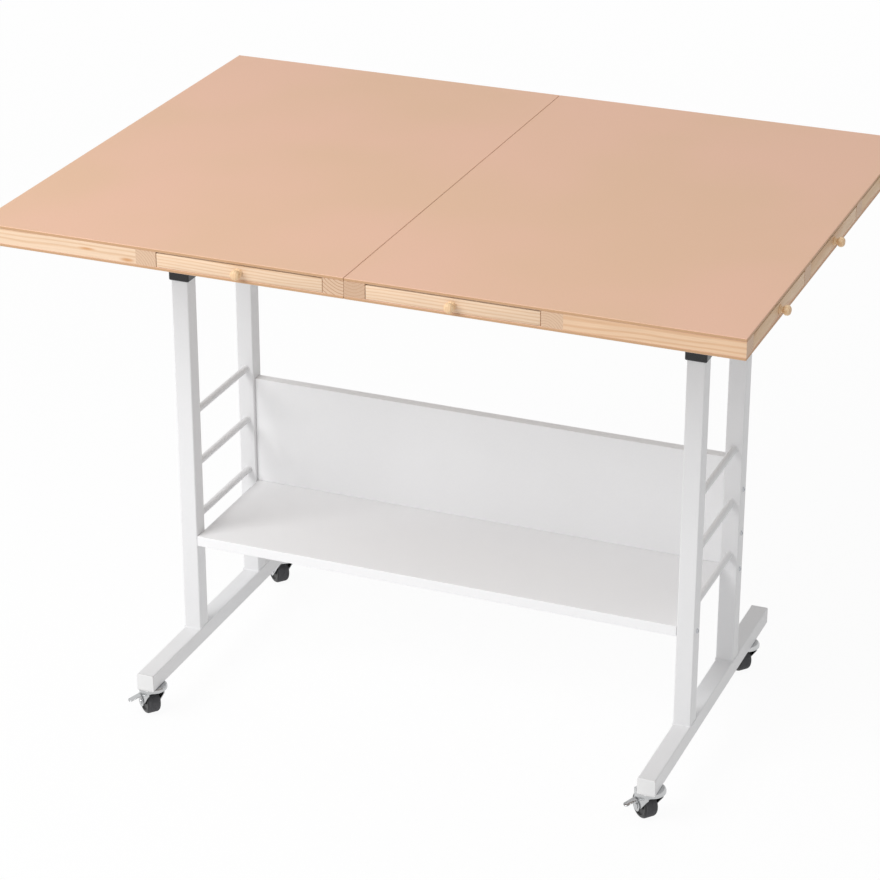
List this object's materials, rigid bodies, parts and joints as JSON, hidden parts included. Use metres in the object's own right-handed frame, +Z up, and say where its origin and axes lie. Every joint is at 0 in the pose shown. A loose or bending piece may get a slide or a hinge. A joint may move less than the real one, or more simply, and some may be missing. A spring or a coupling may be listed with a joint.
{
  "type": "folding puzzle table",
  "caption": "Folding puzzle table: a wooden top hinged at its middle seam, with drawers in its edges, on a white rolling stand of adjustable height with a shelf.",
  "frame": {"origin": "on the floor, below the middle of the part's box", "axes": "+Z up; +X along the long side of the top; the front edge with the two front drawers faces -Y"},
  "size_m": [1.034, 0.784, 0.77],
  "materials": {
    "tan_board": "smooth satin board",
    "pine": "planed pine",
    "white_metal": "powder coat",
    "white_board": "white melamine",
    "white_plastic": "moulded",
    "black_plastic": "moulded",
    "steel": "zinc plated",
    "chrome": "bright plated",
    "black_wheel": "moulded"
  },
  "bodies": {
    "stand": {"foot_left": "white_metal", "foot_right": "white_metal", "foot_plugs": "white_plastic", "posts_left": "white_metal", "posts_right": "white_metal", "side_bars": "white_metal", "collars": "black_plastic", "shelf": "white_board", "back_panel": "white_board", "stand_screws": "steel", "caster_stems": "steel"},
    "lift_left": {"inner_frame_left": "white_metal", "head_screws": "steel", "top_board_left": "tan_board", "bottom_board_left": "tan_board", "seam_rail_left": "pine", "divider_rail_left": "pine", "cross_rails_left": "pine", "side_rail_left": "pine", "column_rails_left": "pine", "hinge_cases_left": "steel"},
    "lift_right": {"inner_frame_right": "white_metal"},
    "top_right": {"top_board_right": "tan_board", "bottom_board_right": "tan_board", "seam_rail_right": "pine", "divider_rail_right": "pine", "cross_rails_right": "pine", "column_rails_right": "pine", "hinge_cases_right": "steel"},
    "hinge_links": {"hinge_links": "steel"},
    "drawer_front_left": {"drawer_front_left": "pine", "knob_front_left": "pine"},
    "drawer_front_right": {"drawer_front_right": "pine", "knob_front_right": "pine"},
    "drawer_right_1": {"drawer_right_1": "pine", "knob_right_1": "pine"},
    "drawer_right_2": {"drawer_right_2": "pine", "knob_right_2": "pine"},
    "drawer_right_3": {"drawer_right_3": "pine", "knob_right_3": "pine"},
    "clamp_knob_front_left": {"clamp_knob_front_left": "black_plastic"},
    "clamp_knob_front_right": {"clamp_knob_front_right": "black_plastic"},
    "clamp_knob_rear_left": {"clamp_knob_rear_left": "black_plastic"},
    "clamp_knob_rear_right": {"clamp_knob_rear_right": "black_plastic"},
    "caster_fork_front_left": {"caster_fork_front_left": "chrome"},
    "caster_wheel_front_left": {"caster_wheel_front_left": "black_wheel"},
    "brake_lever_front_left": {"brake_lever_front_left": "chrome"},
    "caster_fork_front_right": {"caster_fork_front_right": "chrome"},
    "caster_wheel_front_right": {"caster_wheel_front_right": "black_wheel"},
    "brake_lever_front_right": {"brake_lever_front_right": "chrome"},
    "caster_fork_rear_left": {"caster_fork_rear_left": "chrome"},
    "caster_wheel_rear_left": {"caster_wheel_rear_left": "black_wheel"},
    "caster_fork_rear_right": {"caster_fork_rear_right": "chrome"},
    "caster_wheel_rear_right": {"caster_wheel_rear_right": "black_wheel"}
  },
  "joints": [
    {"name": "height", "type": "slide", "parent": "stand", "child": "lift_left", "axis": [0, 0, 1], "range_m": [-0.07, 0.1]},
    {"name": "height_right", "type": "slide", "parent": "stand", "child": "lift_right", "axis": [0, 0, 1], "range_m": [-0.07, 0.1]},
    {"name": "top_fold", "type": "hinge", "parent": "lift_left", "child": "top_right", "pos_m": [-0.007, 0.007, 0.77025], "axis": [0, -1, 0], "range_deg": [0, 180]},
    {"name": "link_turn", "type": "hinge", "parent": "lift_left", "child": "hinge_links", "pos_m": [-0.01, 0.007, 0.76125], "axis": [0, -1, 0], "range_deg": [0, 90]},
    {"name": "drawer_front_left_slide", "type": "slide", "parent": "lift_left", "child": "drawer_front_left", "axis": [0, -1, 0], "range_m": [0, 0.28]},
    {"name": "drawer_front_right_slide", "type": "slide", "parent": "top_right", "child": "drawer_front_right", "axis": [0, -1, 0], "range_m": [0, 0.28]},
    {"name": "drawer_right_1_slide", "type": "slide", "parent": "top_right", "child": "drawer_right_1", "axis": [1, 0, 0], "range_m": [0, 0.15]},
    {"name": "drawer_right_2_slide", "type": "slide", "parent": "top_right", "child": "drawer_right_2", "axis": [1, 0, 0], "range_m": [0, 0.15]},
    {"name": "drawer_right_3_slide", "type": "slide", "parent": "top_right", "child": "drawer_right_3", "axis": [1, 0, 0], "range_m": [0, 0.15]},
    {"name": "clamp_knob_front_left_turn", "type": "hinge", "parent": "stand", "child": "clamp_knob_front_left", "pos_m": [-0.397, -0.0905, 0.638], "axis": [-1, 0, 0], "continuous": true},
    {"name": "clamp_knob_front_right_turn", "type": "hinge", "parent": "stand", "child": "clamp_knob_front_right", "pos_m": [0.383, -0.0905, 0.638], "axis": [1, 0, 0], "continuous": true},
    {"name": "clamp_knob_rear_left_turn", "type": "hinge", "parent": "stand", "child": "clamp_knob_rear_left", "pos_m": [-0.397, 0.1045, 0.638], "axis": [-1, 0, 0], "continuous": true},
    {"name": "clamp_knob_rear_right_turn", "type": "hinge", "parent": "stand", "child": "clamp_knob_rear_right", "pos_m": [0.383, 0.1045, 0.638], "axis": [1, 0, 0], "continuous": true},
    {"name": "caster_front_left_swivel", "type": "hinge", "parent": "stand", "child": "caster_fork_front_left", "pos_m": [-0.3745, -0.231, 0.045], "axis": [0, 0, 1], "continuous": true},
    {"name": "caster_front_left_roll", "type": "hinge", "parent": "caster_fork_front_left", "child": "caster_wheel_front_left", "pos_m": [-0.38446, -0.22264, 0.019], "axis": [-0.6428, -0.766, 0], "continuous": true},
    {"name": "brake_front_left_press", "type": "hinge", "parent": "caster_fork_front_left", "child": "brake_lever_front_left", "pos_m": [-0.38446, -0.22264, 0.019], "axis": [-0.6428, -0.766, 0], "range_deg": [0, 20]},
    {"name": "caster_front_right_swivel", "type": "hinge", "parent": "stand", "child": "caster_fork_front_right", "pos_m": [0.3605, -0.231, 0.045], "axis": [0, 0, 1], "continuous": true},
    {"name": "caster_front_right_roll", "type": "hinge", "parent": "caster_fork_front_right", "child": "caster_wheel_front_right", "pos_m": [0.35054, -0.22264, 0.019], "axis": [-0.6428, -0.766, 0], "continuous": true},
    {"name": "brake_front_right_press", "type": "hinge", "parent": "caster_fork_front_right", "child": "brake_lever_front_right", "pos_m": [0.35054, -0.22264, 0.019], "axis": [-0.6428, -0.766, 0], "range_deg": [0, 20]},
    {"name": "caster_rear_left_swivel", "type": "hinge", "parent": "stand", "child": "caster_fork_rear_left", "pos_m": [-0.3745, 0.2, 0.045], "axis": [0, 0, 1], "continuous": true},
    {"name": "caster_rear_left_roll", "type": "hinge", "parent": "caster_fork_rear_left", "child": "caster_wheel_rear_left", "pos_m": [-0.38446, 0.20836, 0.019], "axis": [-0.6428, -0.766, 0], "continuous": true},
    {"name": "caster_rear_right_swivel", "type": "hinge", "parent": "stand", "child": "caster_fork_rear_right", "pos_m": [0.3605, 0.2, 0.045], "axis": [0, 0, 1], "continuous": true},
    {"name": "caster_rear_right_roll", "type": "hinge", "parent": "caster_fork_rear_right", "child": "caster_wheel_rear_right", "pos_m": [0.35054, 0.20836, 0.019], "axis": [-0.6428, -0.766, 0], "continuous": true}
  ],
  "couplings": [
    {"joint": "height_right", "follows": "height", "ratio": 1},
    {"joint": "link_turn", "follows": "top_fold", "ratio": 0.5}
  ]
}
